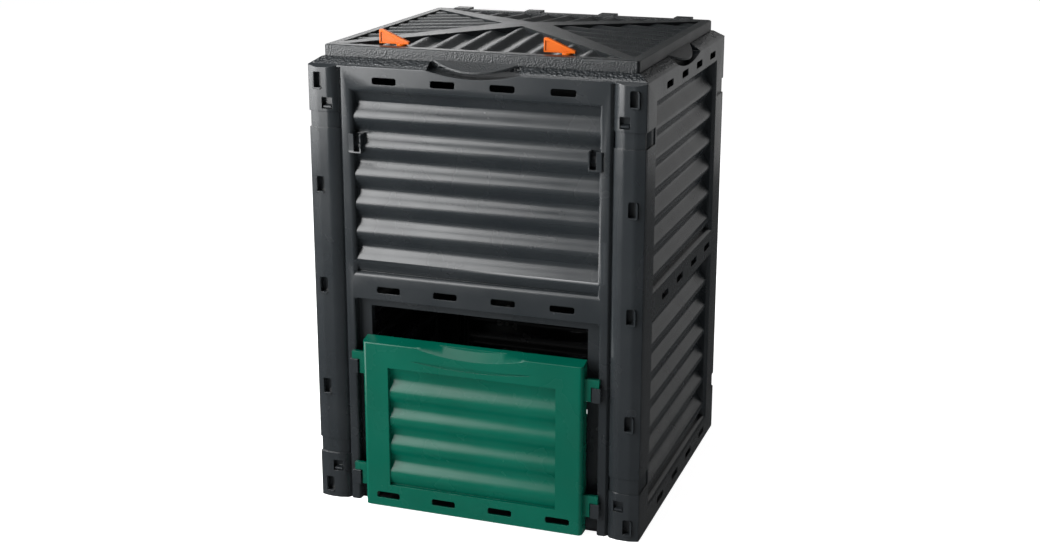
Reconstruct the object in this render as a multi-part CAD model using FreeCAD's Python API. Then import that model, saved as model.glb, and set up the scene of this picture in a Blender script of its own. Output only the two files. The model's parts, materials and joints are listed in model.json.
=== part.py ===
"""Garden compost bin: four corrugated wall mouldings, a hinged pyramid lid with two
turn latches, and a lift-off discharge door hung on hooks.

Millimetres. X runs to the right, Y to the back, Z up. The origin is on the ground,
in the middle of the bin, and the front wall faces -Y.
"""
import FreeCAD
import Part
import math
import os

# Overall size
WIDTH = 600.0
DEPTH = 560.0
WALL_TOP = 795.0

# Moulding
SHEET = 2.8
RUN_GAP = 0.3
SEAM_GAP = 0.1

# Collar round the top of the walls, as steps inward from the wall face
BEVEL_RUN = 18.0
BEVEL_RISE = 12.0
BEVEL_EDGE = 3.0
LEDGE = 9.5
UPSTAND = 6.0
LIP = 12.5
LIP_DROP = 10.0

# Flat bands of the walls, and the corrugated fields between them
BOTTOM_BAND = 46.0
MID_BAND_LOW = 375.0
MID_BAND = 56.5
TOP_BAND = 43.5
WAVE_PITCH = 51.0
WAVE_FLANK = 34.3
WAVE_RADIUS = 12.0
WAVE_SINK = 12.5
FRONT_BORDER = 80.0
SIDE_BORDER = 65.0
RETURN_DEPTH = 24.0
FIELD_EDGE = 6.0
SIDE_EDGE = 2.5

# Ventilation slots in the flat bands
SLOT_PITCH = 106.0
SLOT_LENGTH = 44.0
SLOT_HEIGHT = 12.0
SLOT_CORNER = 2.5
SIDE_SLOT_SHIFT = 24.0
TOP_SLOT_DROP = 23.0
BOTTOM_SLOT_Z = 22.0

# Corner columns on the front and back walls
COLUMN_WIDTH = 57.0
COLUMN_BULGE = 6.0
COLUMN_STEP = 1.0
COLUMN_SHOULDER = (19.0, 5.5)
COLUMN_CREST = 17.0
COLUMN_ROUND = 25.0
COLUMN_CORNER = 4.5
COLUMN_HEM = 3.7
GROOVE_DEPTH = 6.0
GROOVE_HALF = 4.0
BAR_EDGE = 3.0

# Hooks and catches of the side walls, and their holes in the columns
HOOK_X = 19.0
HOOK_LOW = 24.0
HOOK_DROP = 27.0
HOOK_SLOT = (17.0, 30.0)
HOOK_SLOT_CORNER = 2.5
HOOK_WALL = 3.0
HOOK_GAP = 0.5
HOOK_PROUD = 2.0
CATCH_X = 36.0
CATCH_RISE = 38.0
CATCH_SIZE = (18.0, 20.0)
CATCH_GAP = 2.0
CATCH_NOSE = 8.0
CATCH_HEIGHT = 6.0
BELT_LOW = 86.0
BELT_DROP = 80.0
BELT_HEIGHT = 28.0
BELT_DEPTH = 2.2
FLANGE = 50.0
FLANGE_DROP = 2.0

# Finger scoops in the top of three walls, and the lid's lips over them
SCOOP_HALF = 82.0
SCOOP_DROP = 11.0
LIP_HALF = 76.0
LIP_REACH = 21.0
LIP_FALL = 15.0
LIP_SHOULDER = 4.4

# Door opening in the front wall
HEADER_STEP = 10.0
HEADER_HEIGHT = 17.0
JAMB_BORDER = 76.0
JAMB_WIDTH = 24.0
JAMB_DEPTH = 18.0
JAMB_FLANGE = 14.0

# Discharge door
DOOR_SIDE_GAP = 21.0
DOOR_BOTTOM = 4.0
DOOR_HEIGHT = 308.0
DOOR_FACE = 20.0
DOOR_DEPTH = 25.0
DOOR_WALL = 3.0
DOOR_CORNER = 7.0
DOOR_EDGE = 2.0
DOOR_REAR_RISE = 6.0
DOOR_BORDER = 48.0
DOOR_SILL = 42.0
DOOR_HEAD = 44.0
DOOR_WAVE_PITCH = 50.0
DOOR_WAVE_FLANK = 34.3
DOOR_WAVE_RADIUS = 19.0
DOOR_WAVE_SINK = 7.5
DOOR_SLOT_RISE = 21.0
DIP_HALF = 112.0
DIP_SAG = 15.0
DIP_FLOOR = 12.0
DIP_DEPTH = 16.0
DIP_SLOPE = 0.82
CREASE_BELOW = 26.0
CREASE_SAG = 8.0
CREASE_WIDTH = 5.5
CREASE_DEPTH = 1.5

# Brackets beside the opening, and the door's hooks that hang in them
BRACKET_LOW = 58.0
BRACKET_DROP = 38.0
BRACKET_HEIGHT = 26.0
BRACKET_WIDTH = 15.0
BRACKET_OVERHANG = 7.5
BRACKET_PROUD = 12.0
BRACKET_WALL = 2.5
DOOR_HOOK_HEIGHT = 14.0
DOOR_HOOK_GAP = 2.5
DOOR_HOOK_BACK = 1.0
TONGUE = 18.0
TONGUE_GAP = 0.6
PARK_DROP = 116.0
PARK_HEIGHT = 33.0
PARK_WIDTH = 23.0
PARK_OVERHANG = 17.0
PARK_PROUD = 4.0
PARK_DEPTH = 20.0

# Lid
LID_SETBACK = 3.0
LID_SEAT = 0.3
RIM_HEIGHT = 19.7
LID_RISE = 13.0
RIM_WALL = 3.0
RIM_CORNER = 5.0
RIM_EDGE = 2.0
RIM_BAND_X = 17.0
RIM_BAND_Y = 19.0
APEX_Y = 28.0
APEX_X = 48.0
BAND_END_X = 16.0
BAND_END_Y = 14.0
LID_SHEET = 3.0
LID_WAVE_PITCH = 46.0
LID_WAVE_FLANK = 25.7
LID_WAVE_RADIUS = 12.0
LID_WAVE_SINK = 6.0
LID_SKIRT = 13.5

# Lid hinge
HINGE_SETBACK = 10.0
HINGE_RISE = 10.0
HINGE_BORDER = 76.0
HINGE_INNER = 75.0
HINGE_BAR = 4.0
CLIP_GAP = 0.3
CLIP_WALL = 3.2
CLIP_LENGTH = 32.0
CLIP_MOUTH = 6.4
EAR_THICKNESS = 5.0
EAR_HALF = 6.5
EAR_CORNER = 3.9
EAR_GAP = 0.6
TAB_RISE = 2.5
TAB_REACH = 14.0

# Turn latches
LATCH_X = 148.0
LATCH_SETBACK = 54.0
BOSS_RADIUS = 13.0
BOSS_SINK = 1.0
BOSS_HEIGHT = 12.0
SPINDLE = 6.0
SPINDLE_GAP = 0.4
LATCH_DISC = 9.0
LATCH_DISC_HEIGHT = 3.0
FIN_TAIL = 40.0
FIN_NOSE = 14.0
FIN_HEIGHT = 24.0
FIN_TIP = 4.0
FIN_CROWN = 6.0
FIN_ROOT = 0.5
FIN_EDGE = 1.0
FIN_THICKNESS = 7.0
FIN_RIM = 2.5
FIN_SINK = 1.6
CAM_CLEARANCE = 1.5
CAM_HEIGHT = 5.0
CAM_BITE = 11.0
CAM_WIDTH = 14.0
CAM_HUB = 17.0
CAM_SQUARE = 8.0
CAM_FIT = 0.1

# Places that follow from the sizes above
V = FreeCAD.Vector
FRONT = DEPTH / 2.0
SIDE = WIDTH / 2.0
LEDGE_TOP = WALL_TOP + BEVEL_RISE
LIP_END = LEDGE_TOP + UPSTAND - LIP_DROP
MID_BAND_HIGH = MID_BAND_LOW + MID_BAND
LOWER_FIELD = (BOTTOM_BAND, MID_BAND_LOW)
UPPER_FIELD = (MID_BAND_HIGH, WALL_TOP - TOP_BAND)
TOP_SLOT_Z = WALL_TOP - TOP_SLOT_DROP
MID_SLOT_Z = (MID_BAND_LOW + MID_BAND_HIGH) / 2.0
HOOK_HIGH = WALL_TOP - HOOK_DROP
HOOK_HEIGHTS = (HOOK_LOW, (HOOK_LOW + MID_SLOT_Z) / 2.0, MID_SLOT_Z, (MID_SLOT_Z + HOOK_HIGH) / 2.0,
                HOOK_HIGH)
CATCH_HEIGHTS = (HOOK_LOW + CATCH_RISE, HOOK_HIGH - CATCH_RISE)
BELT_ZONES = ((BELT_LOW, BELT_LOW + BELT_HEIGHT), (WALL_TOP - BELT_DROP - BELT_HEIGHT, WALL_TOP - BELT_DROP))
HEADER_TOP = MID_BAND_LOW + HEADER_STEP
OPENING_TOP = HEADER_TOP - HEADER_HEIGHT
OPENING_HALF = SIDE - JAMB_BORDER - JAMB_WIDTH
DOOR_HALF = SIDE - JAMB_BORDER - DOOR_SIDE_GAP
DOOR_TOP = DOOR_BOTTOM + DOOR_HEIGHT
DOOR_FIELD_HALF = DOOR_HALF - DOOR_BORDER
DOOR_FIELD = (DOOR_BOTTOM + DOOR_SILL, DOOR_TOP - DOOR_HEAD)
BRACKET_INNER = SIDE - JAMB_BORDER - BRACKET_OVERHANG
BRACKET_TOPS = (DOOR_BOTTOM + BRACKET_LOW, DOOR_TOP - BRACKET_DROP)
LID_INSET = BEVEL_RUN + LID_SETBACK
LID_BOTTOM = LEDGE_TOP + LID_SEAT
RIM_TOP = LID_BOTTOM + RIM_HEIGHT
LID_TOP = RIM_TOP + LID_RISE
HINGE_Z = LEDGE_TOP + HINGE_RISE
HINGE_OUTER = SIDE - HINGE_BORDER
HINGE_PLACES = (-HINGE_OUTER, -HINGE_INNER, HINGE_INNER, HINGE_OUTER)
LATCH_Y = -(FRONT - LATCH_SETBACK)
BOSS_TOP = RIM_TOP - BOSS_SINK
LATCH_DISC_LOW = BOSS_TOP + RUN_GAP
LATCH_DISC_TOP = LATCH_DISC_LOW + LATCH_DISC_HEIGHT
CAM_TOP = LIP_END - CAM_CLEARANCE
CAM_BOTTOM = CAM_TOP - CAM_HEIGHT
CAM_REACH = LATCH_SETBACK - (BEVEL_RUN + LEDGE + LIP) + CAM_BITE

# How far cutting tools run past the faces they cut
OVER = 1.0

# The share of a straight stretch that the bend at its end may use up
BEND_SHARE = 0.498


# Rounded paths and ribbons

def point(plane, a, b, offset=0.0):
    """A 3-D point from two plane coordinates: xy, yz or xz."""
    if plane == "xy":
        return V(a, b, offset)
    if plane == "yz":
        return V(offset, a, b)
    return V(a, offset, b)


def offset_path(points, distance):
    """The open polyline moved to its left by a distance."""
    normals = []
    for (x0, y0), (x1, y1) in zip(points, points[1:]):
        length = math.hypot(x1 - x0, y1 - y0)
        normals.append((-(y1 - y0) / length, (x1 - x0) / length))
    moved = []
    for i, (x, y) in enumerate(points):
        before = normals[max(i - 1, 0)]
        after = normals[min(i, len(normals) - 1)]
        scale = distance / (1.0 + before[0] * after[0] + before[1] * after[1])
        moved.append((x + (before[0] + after[0]) * scale, y + (before[1] + after[1]) * scale))
    return moved


def path_edges(points, radii, plane, offset=0.0):
    """Lines and tangent arcs along an open polyline with a radius at each corner."""
    edges = []
    start = points[0]
    for i in range(1, len(points)):
        corner = points[i]
        if i == len(points) - 1 or radii[i] < 0.05:
            stop, resume, bend = corner, corner, None
        else:
            stop, resume, bend = corner_arc(points[i - 1], corner, points[i + 1], radii[i])
        if math.hypot(stop[0] - start[0], stop[1] - start[1]) > 1e-6:
            ends = [point(plane, *p, offset) for p in (start, stop)]
            edges.append(Part.LineSegment(*ends).toShape())
        if bend:
            ends = [point(plane, *p, offset) for p in (stop, bend, resume)]
            edges.append(Part.Arc(*ends).toShape())
        start = resume
    return edges


def corner_arc(before, corner, after, radius):
    """Start, end and middle of the arc that rounds a corner."""
    ax, ay = before[0] - corner[0], before[1] - corner[1]
    bx, by = after[0] - corner[0], after[1] - corner[1]
    la, lb = math.hypot(ax, ay), math.hypot(bx, by)
    ax, ay, bx, by = ax / la, ay / la, bx / lb, by / lb
    half = math.acos(max(-1.0, min(1.0, ax * bx + ay * by))) / 2.0
    reach = min(radius / math.tan(half), BEND_SHARE * la, BEND_SHARE * lb)
    radius = reach * math.tan(half)
    mx, my = ax + bx, ay + by
    lm = math.hypot(mx, my)
    near = radius / math.sin(half) - radius
    start = (corner[0] + ax * reach, corner[1] + ay * reach)
    end = (corner[0] + bx * reach, corner[1] + by * reach)
    middle = (corner[0] + mx / lm * near, corner[1] + my / lm * near)
    return start, end, middle


def cut_corner(before, corner, after, size):
    """The two points that replace a corner when it is cut off at an equal distance on both sides."""
    points = []
    for other in (before, after):
        length = math.hypot(other[0] - corner[0], other[1] - corner[1])
        dx, dy = (other[0] - corner[0]) / length, (other[1] - corner[1]) / length
        points.append((corner[0] + dx * size, corner[1] + dy * size))
    return points


def cut_bends(points, radii):
    """The polyline with each bend cut off straight, where an arc of its radius would have its middle."""
    result = [points[0]]
    for i in range(1, len(points) - 1):
        before, corner, after = points[i - 1:i + 2]
        if radii[i] > 0.0:
            middle = corner_arc(before, corner, after, radii[i])[2]
            turn = math.atan2(after[1] - corner[1], after[0] - corner[0])
            turn -= math.atan2(corner[1] - before[1], corner[0] - before[0])
            near = math.hypot(middle[0] - corner[0], middle[1] - corner[1])
            result += cut_corner(before, corner, after, near / abs(math.sin(turn / 2.0)))
        else:
            result.append(corner)
    return result + [points[-1]]


def ribbon_face(points, radii, thickness, plane):
    """A sheet's section: the rounded path outside, and a plainer one with cut bends at its left inside."""
    inner_radii = list(radii)
    for i in range(1, len(points) - 1):
        (x0, y0), (x1, y1), (x2, y2) = points[i - 1:i + 2]
        turn = (x1 - x0) * (y2 - y1) - (y1 - y0) * (x2 - x1)
        change = -thickness if turn > 0 else thickness
        inner_radii[i] = max(radii[i] + change, 0.0) if radii[i] > 0.0 else 0.0
    inner = cut_bends(offset_path(points, thickness), inner_radii)
    edges = path_edges(points, radii, plane)
    edges += path_edges(inner, [0.0] * len(inner), plane)
    for a, b in ((points[-1], inner[-1]), (inner[0], points[0])):
        edges.append(Part.LineSegment(point(plane, *a), point(plane, *b)).toShape())
    return Part.Face(Part.Wire(Part.__sortEdges__(edges)))


def polygon_face(points, plane, offset=0.0):
    """A closed outline of straight lines."""
    corners = [point(plane, *p, offset) for p in points]
    return Part.Face(Part.makePolygon(corners + corners[:1]))


def cut_box_outline(x0, x1, y0, y1, cut):
    """A rectangle with its corners cut off."""
    return [(x0 + cut, y0), (x1 - cut, y0), (x1, y0 + cut), (x1, y1 - cut),
            (x1 - cut, y1), (x0 + cut, y1), (x0, y1 - cut), (x0, y0 + cut)]


def octagon(x, y, radius):
    """An octagon about a point, as wide over its flats as a circle of the radius."""
    return cut_box_outline(x - radius, x + radius, y - radius, y + radius, radius * (2.0 - math.sqrt(2.0)))


def box(x0, x1, y0, y1, z0, z1):
    return Part.makeBox(x1 - x0, y1 - y0, z1 - z0, V(x0, y0, z0))


def fuse(shapes):
    result = shapes[0].multiFuse(shapes[1:]) if len(shapes) > 1 else shapes[0]
    return result.removeSplitter()


def mirror_x(shape):
    return shape.mirror(V(0, 0, 0), V(1, 0, 0))


def both_sides(shape):
    return [shape, mirror_x(shape)]


def turned(shape, degrees):
    """A wall that is modelled facing -Y, turned about the bin's middle."""
    result = shape.copy()
    result.rotate(V(0, 0, 0), V(0, 0, 1), degrees)
    return result


def slot_tool(x, y0, y1, z, length=SLOT_LENGTH, height=SLOT_HEIGHT, corner=SLOT_CORNER):
    """A slot cut along Y, with its corners cut off."""
    outline = cut_box_outline(x - length / 2.0, x + length / 2.0, z - height / 2.0, z + height / 2.0, corner)
    return polygon_face(outline, "xz", y0).extrude(V(0, y1 - y0, 0))


def slot_row(face, half, z, shift=0.0, sheet=SHEET):
    """The row of slots through one band: as many as its half width holds beside the shift."""
    count = int((2.0 * (half - abs(shift)) - SLOT_LENGTH) // SLOT_PITCH) + 1
    first = shift - SLOT_PITCH * (count - 1) / 2.0
    return [slot_tool(first + i * SLOT_PITCH, -face - OVER, -face + sheet + OVER, z) for i in range(count)]


# Sections of the walls

def wave_swing(pitch, flank):
    """How far a zigzag's corners lie from its middle, for a flank angle in degrees."""
    return pitch / 4.0 * math.tan(math.radians(flank))


def wave_points(field, pitch, middle, flank):
    """Zigzag corners of a corrugated field, from its lower ledge to its upper one."""
    low, high = field
    waves = int((high - low) // pitch)
    swing = wave_swing(pitch, flank)
    margin = (high - low - waves * pitch) / 2.0
    points = [(middle, low)]
    level = low + margin + pitch / 4.0
    for i in range(2 * waves):
        depth = middle - swing if i % 2 == 0 else middle + swing
        points.append((depth, level))
        level += pitch / 2.0
    points.append((middle, high))
    return points


def collar_points(face):
    """The bevel, ledge, upstand and lip round the top, from the wall face inward."""
    y, z = -face, WALL_TOP
    points = [(y, z)]
    for dy, dz in ((BEVEL_RUN, BEVEL_RISE), (LEDGE, 0), (0, UPSTAND), (LIP, 0), (0, -LIP_DROP)):
        y, z = y + dy, z + dz
        points.append((y, z))
    return points


COLLAR_RADII = [BEVEL_EDGE, 0.0, 0.0, 0.0, 0.0, 0.0]


def field_and_band(face, field):
    """Path of one field, with the cut edges of the bands below and above it."""
    waves = wave_points(field, WAVE_PITCH, -face + WAVE_SINK, WAVE_FLANK)
    waves = cut_bends(waves, [WAVE_RADIUS] * len(waves))
    edge = FIELD_EDGE
    path = cut_corner((-face, field[0] - edge), (-face, field[0]), waves[0], edge)
    return path + waves + cut_corner(waves[-1], (-face, field[1]), (-face, field[1] + edge), edge)


def sheet_section(path, radii):
    """The path climbs, so its left is outside: it is walked downward to put the sheet inside."""
    return ribbon_face(path[::-1], radii[::-1], SHEET, "yz")


def wall_section(face, fields, bottom):
    """Closed section of a wall in the YZ plane: bands, corrugated fields and collar."""
    points = list(bottom)
    for field in fields:
        points += field_and_band(face, field)
    return sheet_section(points + collar_points(face), [0.0] * len(points) + COLLAR_RADII)


def collar_ring_piece(face, half):
    """The collar along one wall, cut to a mitre at both corners."""
    section = sheet_section([(-face, WALL_TOP - SHEET)] + collar_points(face), [0.0] + COLLAR_RADII)
    return extrude_section(section, half).common(mitre_keep(face, half))


def mitre_keep(face, half):
    """The wedge of the plan that belongs to one wall."""
    inward = BEVEL_RUN + LEDGE + LIP + 2.0 * SHEET
    outward = COLUMN_BULGE + SHEET
    outline = [(-half - outward + SEAM_GAP, -face - outward), (half + outward - SEAM_GAP, -face - outward),
               (half - inward - SEAM_GAP, -face + inward), (-half + inward + SEAM_GAP, -face + inward)]
    low = WALL_TOP - 2.0 * BEVEL_RISE
    return polygon_face(outline, "xy", low).extrude(V(0, 0, LEDGE_TOP + 2.0 * UPSTAND - low))


def above_bevel(face, half):
    """Everything over the bevel's plane, to trim the tops of the columns."""
    slope = BEVEL_RISE / BEVEL_RUN
    out = COLUMN_BULGE + SHEET
    high = LEDGE_TOP + 2.0 * BEVEL_RISE
    outline = [(-face - out, WALL_TOP - out * slope), (-face + BEVEL_RUN, LEDGE_TOP),
               (-face + BEVEL_RUN, high), (-face - out, high)]
    return extrude_section(polygon_face(outline, "yz"), half + out)


def scoop_outline(half, drop, y, top):
    """The rounded notch of a finger scoop, from its floor up to a level."""
    ends = [V(-half, y, WALL_TOP), V(0, y, WALL_TOP - drop), V(half, y, WALL_TOP)]
    corners = [V(half, y, WALL_TOP), V(half, y, top), V(-half, y, top), V(-half, y, WALL_TOP)]
    return Part.Face(Part.Wire([Part.Arc(*ends).toShape()] + Part.makePolygon(corners).Edges))


def scoop_tool(face):
    """The notch through the bevel and the top of the band."""
    outline = scoop_outline(SCOOP_HALF, SCOOP_DROP, -face - OVER, LEDGE_TOP + OVER)
    return outline.extrude(V(0, OVER + BEVEL_RUN + LEDGE - SHEET, 0))


def scoop_pocket(face):
    """The curved floor and the rear wall behind a notch, which keep the bin closed there."""
    outline = scoop_outline(SCOOP_HALF + SHEET, SCOOP_DROP + SHEET, -face, LEDGE_TOP)
    block = outline.extrude(V(0, BEVEL_RUN + LEDGE, 0))
    return block.cut([scoop_tool(face), above_bevel(face, SCOOP_HALF)])


def band_strips(face, half, low, high, cut_low=True, cut_high=True):
    """A flat band drawn on over the bars, so that its cut edges and theirs meet in a mitre."""
    edge = FIELD_EDGE
    below, above = (-face, low), (-face, high)
    path = cut_corner((-face + edge, low), below, above, edge) if cut_low else [below]
    path += cut_corner(below, above, (-face + edge, high), edge) if cut_high else [above]
    strip = sheet_section(path, [0.0] * len(path)).extrude(V(edge + OVER, 0, 0))
    strip.translate(V(half, 0, 0))
    return both_sides(strip)


def side_bands(face, half):
    """The three bands of a wall with two fields, drawn on over the bars."""
    return (band_strips(face, half, 0.0, LOWER_FIELD[0], cut_low=False)
            + band_strips(face, half, LOWER_FIELD[1], UPPER_FIELD[0])
            + band_strips(face, half, UPPER_FIELD[1], WALL_TOP, cut_high=False))


def extrude_section(section, half):
    solid = section.extrude(V(2.0 * half, 0, 0))
    solid.translate(V(-half, 0, 0))
    return solid


# Front and back walls with their columns

def column_path(start):
    """Plan of a right-hand column, from the bar beside the field to the side wall."""
    y = -FRONT
    bar = SIDE - COLUMN_WIDTH
    return start + [(bar - GROOVE_HALF, y), (bar, y + GROOVE_DEPTH), (bar + GROOVE_HALF, y - COLUMN_STEP),
                    (bar + COLUMN_SHOULDER[0], y - COLUMN_SHOULDER[1]),
                    (SIDE - COLUMN_CREST, y - COLUMN_BULGE), (SIDE, y - COLUMN_STEP), (SIDE, y + COLUMN_HEM)]


COLUMN_RADII = [BAR_EDGE, 0.0, 0.0, COLUMN_ROUND, COLUMN_ROUND, COLUMN_CORNER, 0.0]


def column_sheet(start, start_radii, z0, z1):
    face = ribbon_face(column_path(start), start_radii + COLUMN_RADII, SHEET, "xy")
    solid = face.extrude(V(0, 0, z1 - z0))
    solid.translate(V(0, 0, z0))
    return solid


def upper_start():
    """The return wall beside a corrugated field, and the cut edge of the bar."""
    inner = SIDE - FRONT_BORDER
    corner = (inner, -FRONT)
    rear = (inner, -FRONT + RETURN_DEPTH)
    path = [rear] + cut_corner(rear, corner, (SIDE, -FRONT), FIELD_EDGE)
    return path, [0.0] * len(path)


def jamb_start():
    """The recessed jamb beside the door opening."""
    bar = SIDE - JAMB_BORDER
    jamb = -FRONT + JAMB_DEPTH
    corner = (bar, -FRONT)
    path = [(OPENING_HALF, jamb + JAMB_FLANGE), (OPENING_HALF, jamb), (bar, jamb)]
    path += cut_corner((bar, jamb), corner, (SIDE, -FRONT), BAR_EDGE)
    return path, [0.0] * len(path)


def plain_start():
    """A short stretch of the bar, for outlines that only follow the column."""
    return [(SIDE - COLUMN_WIDTH - 4.0 * GROOVE_HALF, -FRONT)]


def column_top():
    """The bevel drawn out over a column's bulge, and trimmed to its plan."""
    slope = BEVEL_RISE / BEVEL_RUN
    out = COLUMN_BULGE + SHEET
    points = [(-FRONT + BEVEL_RUN, LEDGE_TOP), (-FRONT - out, WALL_TOP - out * slope)]
    section = ribbon_face(points, [0.0, 0.0], SHEET, "yz")
    plate = section.extrude(V(COLUMN_WIDTH + OVER, 0, 0))
    plate.translate(V(SIDE - COLUMN_WIDTH - OVER, 0, 0))
    outline = column_path(plain_start())
    edges = path_edges(outline, [0.0] + COLUMN_RADII, "xy")
    corners = [outline[-1], (SIDE, 0.0), (outline[0][0], 0.0), outline[0]]
    edges += path_edges(corners, [0.0] * 4, "xy")
    plan = Part.Face(Part.Wire(Part.__sortEdges__(edges))).extrude(V(0, 0, LEDGE_TOP + BEVEL_RISE))
    return plate.common(plan).common(mitre_keep(FRONT, SIDE))


def column_cuts():
    """Slots for the side wall's hooks, catch holes and the two belts of a column."""
    front, back = -FRONT - COLUMN_BULGE - OVER, -FRONT + SHEET + OVER
    tools = [slot_tool(SIDE - HOOK_X, front, back, z, *HOOK_SLOT, HOOK_SLOT_CORNER) for z in HOOK_HEIGHTS]
    for z in CATCH_HEIGHTS:
        half, up = CATCH_SIZE[0] / 2.0, CATCH_SIZE[1] / 2.0
        tools.append(box(SIDE - CATCH_X - half, SIDE - CATCH_X + half, front, back, z - up, z + up))
    outline = column_path(plain_start())
    belt_inner = offset_path(outline, BELT_DEPTH)
    for z0, z1 in BELT_ZONES:
        ring = belt_region(belt_inner).extrude(V(0, 0, z1 - z0))
        ring.translate(V(0, 0, z0))
        tools.append(ring)
    return tools


def belt_region(inner):
    """The band outside the sunk belt, from the bar's groove round to the side."""
    first = 2
    inside = inner[first:]
    edges = path_edges(inside, [0.0] + COLUMN_RADII[first:], "xy")
    out_x, out_y = SIDE + OVER, -FRONT - COLUMN_BULGE - OVER
    corners = [inside[-1], (out_x, inside[-1][1]), (out_x, out_y), (inside[0][0], out_y), inside[0]]
    edges += path_edges(corners, [0.0] * 5, "xy")
    return Part.Face(Part.Wire(Part.__sortEdges__(edges)))


def corner_relief():
    """Room above a column's hem for the side wall's collar."""
    reach = FLANGE
    out = COLUMN_BULGE + SHEET
    outline = [(SIDE + SEAM_GAP, -FRONT), (SIDE + out, -FRONT - out), (SIDE + out, -FRONT + reach),
               (SIDE - reach + SEAM_GAP, -FRONT + reach)]
    low = WALL_TOP - SHEET - HOOK_GAP
    return polygon_face(outline, "xy", low).extrude(V(0, 0, LEDGE_TOP + BEVEL_RISE - low))


def columned_wall(section, columns):
    """The middle of a front or back wall with its columns, trimmed under the bevel, and the collar."""
    wall = fuse([extrude_section(section, SIDE - FRONT_BORDER + SHEET)] + columns)
    wall = wall.cut(above_bevel(FRONT, SIDE))
    return [wall, collar_ring_piece(FRONT, SIDE)] + both_sides(column_top())


def make_front_wall():
    start, radii = upper_start()
    low, low_radii = jamb_start()
    half = SIDE - FRONT_BORDER
    columns = both_sides(column_sheet(start, radii, HEADER_TOP - SHEET, LEDGE_TOP))
    columns += both_sides(column_sheet(low, low_radii, 0.0, HEADER_TOP))
    columns += band_strips(FRONT, half, HEADER_TOP, UPPER_FIELD[0], cut_low=False)
    columns += band_strips(FRONT, half, UPPER_FIELD[1], WALL_TOP, cut_high=False)
    parts = columned_wall(front_section(), columns)
    for z in BRACKET_TOPS:
        parts += both_sides(bracket_body(z))
    parts += both_sides(parking_bracket())
    wall = fuse(parts)
    tools = slot_row(FRONT, half, TOP_SLOT_Z) + slot_row(FRONT, half, MID_SLOT_Z) + [scoop_tool(FRONT)]
    for tool in column_cuts() + [corner_relief()] + [bracket_pocket(z) for z in BRACKET_TOPS]:
        tools += both_sides(tool)
    return fuse([wall.cut(tools), scoop_pocket(FRONT)])


def front_section():
    """The front wall in the middle: header of the door opening, band, field and collar."""
    depth = -FRONT + JAMB_DEPTH
    header = [(depth + JAMB_FLANGE, OPENING_TOP), (depth, OPENING_TOP), (depth, HEADER_TOP),
              (-FRONT, HEADER_TOP)]
    return wall_section(FRONT, (UPPER_FIELD,), header)


def make_back_wall():
    start, radii = upper_start()
    section = wall_section(FRONT, (LOWER_FIELD, UPPER_FIELD), [(-FRONT, 0.0)])
    half = SIDE - FRONT_BORDER
    columns = both_sides(column_sheet(start, radii, 0.0, LEDGE_TOP)) + side_bands(FRONT, half)
    parts = columned_wall(section, columns)
    wall = fuse(parts + hinge_ears())
    tools = []
    for z in (TOP_SLOT_Z, MID_SLOT_Z, BOTTOM_SLOT_Z):
        tools += slot_row(FRONT, half, z)
    for tool in column_cuts() + [corner_relief()]:
        tools += both_sides(tool)
    return turned(wall.cut(tools).removeSplitter(), 180.0)


def hinge_ears():
    """Pairs of ears on the bevel with a bar between them, modelled facing -Y."""
    axis_y = -(FRONT - HINGE_SETBACK)
    inner = CLIP_LENGTH / 2.0 + EAR_GAP
    shapes = []
    for x in HINGE_PLACES:
        shapes += [hinge_ear(x + inner, axis_y), hinge_ear(x - inner - EAR_THICKNESS, axis_y)]
        length = 2.0 * (inner + OVER)
        shapes.append(Part.makeCylinder(HINGE_BAR, length, V(x - length / 2.0, axis_y, HINGE_Z), V(1, 0, 0)))
    return shapes


def hinge_ear(x0, axis_y):
    """An upright ear that stands on the bevel, with the two corners at its top cut off."""
    slope = BEVEL_RISE / BEVEL_RUN
    y0, y1 = axis_y - EAR_HALF, axis_y + EAR_HALF
    base0 = WALL_TOP + (y0 + FRONT) * slope - SHEET
    base1 = WALL_TOP + (y1 + FRONT) * slope - SHEET
    top, cut = HINGE_Z + EAR_HALF, EAR_CORNER
    outline = [(y0, base0), (y1, base1), (y1, top - cut), (y1 - cut, top), (y0 + cut, top), (y0, top - cut)]
    return polygon_face(outline, "yz", x0).extrude(V(EAR_THICKNESS, 0, 0))


# Side walls

def flange_face():
    """How far from the bin's middle a side wall's flanges stand, inside the columns' hems."""
    return FRONT - COLUMN_HEM - RUN_GAP


def side_end_section():
    """Plan of a side wall's right-hand end: return wall, strip and inward flange."""
    inner = FRONT - SIDE_BORDER
    end = flange_face()
    rear, corner = (inner, -SIDE + RETURN_DEPTH), (inner, -SIDE)
    points = [rear] + cut_corner(rear, corner, (end, -SIDE), FIELD_EDGE)
    points += cut_corner(corner, (end, -SIDE), (end, -SIDE + FLANGE), SIDE_EDGE) + [(end, -SIDE + FLANGE)]
    return ribbon_face(points, [0.0] * len(points), SHEET, "xy")


def side_hook(z):
    """One L-shaped hook that passes through a column's slot."""
    tip = FRONT + COLUMN_BULGE + HOOK_PROUD
    root = flange_face() - OVER
    outer = -SIDE + HOOK_X - HOOK_SLOT[0] / 2.0 + HOOK_GAP
    inner = -SIDE + HOOK_X + HOOK_SLOT[0] / 2.0 - HOOK_GAP
    low, high = z - HOOK_SLOT[1] / 2.0 + HOOK_GAP, z + HOOK_SLOT[1] / 2.0 - HOOK_GAP
    cut = HOOK_SLOT_CORNER
    floor = low + cut + HOOK_GAP
    outline = [(outer, low + cut), (outer + cut, low), (inner - cut, low), (inner, low + cut),
               (inner, floor), (outer + HOOK_WALL, floor),
               (outer + HOOK_WALL, high), (outer + cut, high), (outer, high - cut)]
    return polygon_face(outline, "yz", root).extrude(V(tip - root, 0, 0))


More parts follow.
